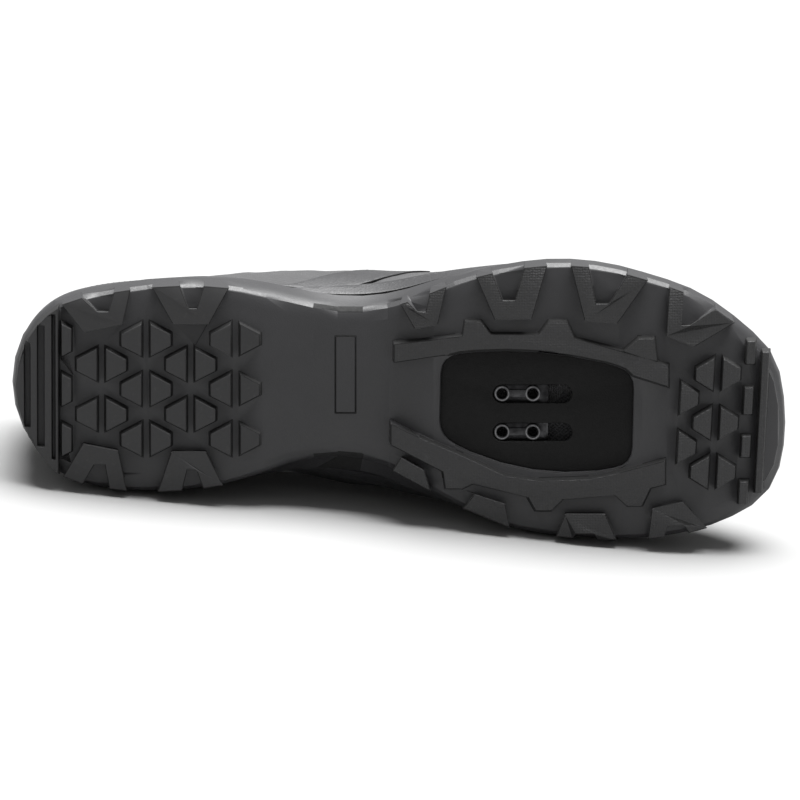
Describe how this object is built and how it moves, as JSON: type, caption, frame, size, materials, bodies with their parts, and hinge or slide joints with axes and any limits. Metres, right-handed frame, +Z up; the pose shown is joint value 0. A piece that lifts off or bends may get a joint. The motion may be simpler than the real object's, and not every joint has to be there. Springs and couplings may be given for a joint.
{
  "type": "cycling shoe",
  "caption": "Right off-road cycling shoe lying on its side: hollow upper, lugged rubber sole with a cleat window, slotted plate and sliding nut plate.",
  "frame": {"origin": "middle of the footprint, on the surface that the shoe lies on", "axes": "+X from heel to toe, +Z up; the sole faces -Y"},
  "size_m": [0.2806, 0.141, 0.1007],
  "materials": {
    "rubber": "satin moulded carbon-black rubber",
    "nylon": "fine-grained black nylon",
    "steel": "zinc-plated steel",
    "shell": "matte black synthetic leather with mesh",
    "foam": "fabric-covered foam footbed",
    "padding": "padded knit lining",
    "overlay": "smooth welded film",
    "strap": "matte synthetic strap"
  },
  "bodies": {
    "shoe": {"outsole": "rubber", "cleat_plate": "nylon", "upper": "shell", "insole": "foam", "tongue": "padding", "collar_pad": "padding", "forefoot_overlay": "overlay", "heel_counter": "overlay", "strap_front": "strap", "strap_middle": "strap", "strap_top": "strap"},
    "cleat_nuts": {"cleat_nut_plate": "steel"}
  },
  "joints": [
    {"name": "nut_plate_slide", "type": "slide", "parent": "shoe", "child": "cleat_nuts", "axis": [0.9947, 0, 0.103], "range_m": [0, 0.01]}
  ]
}
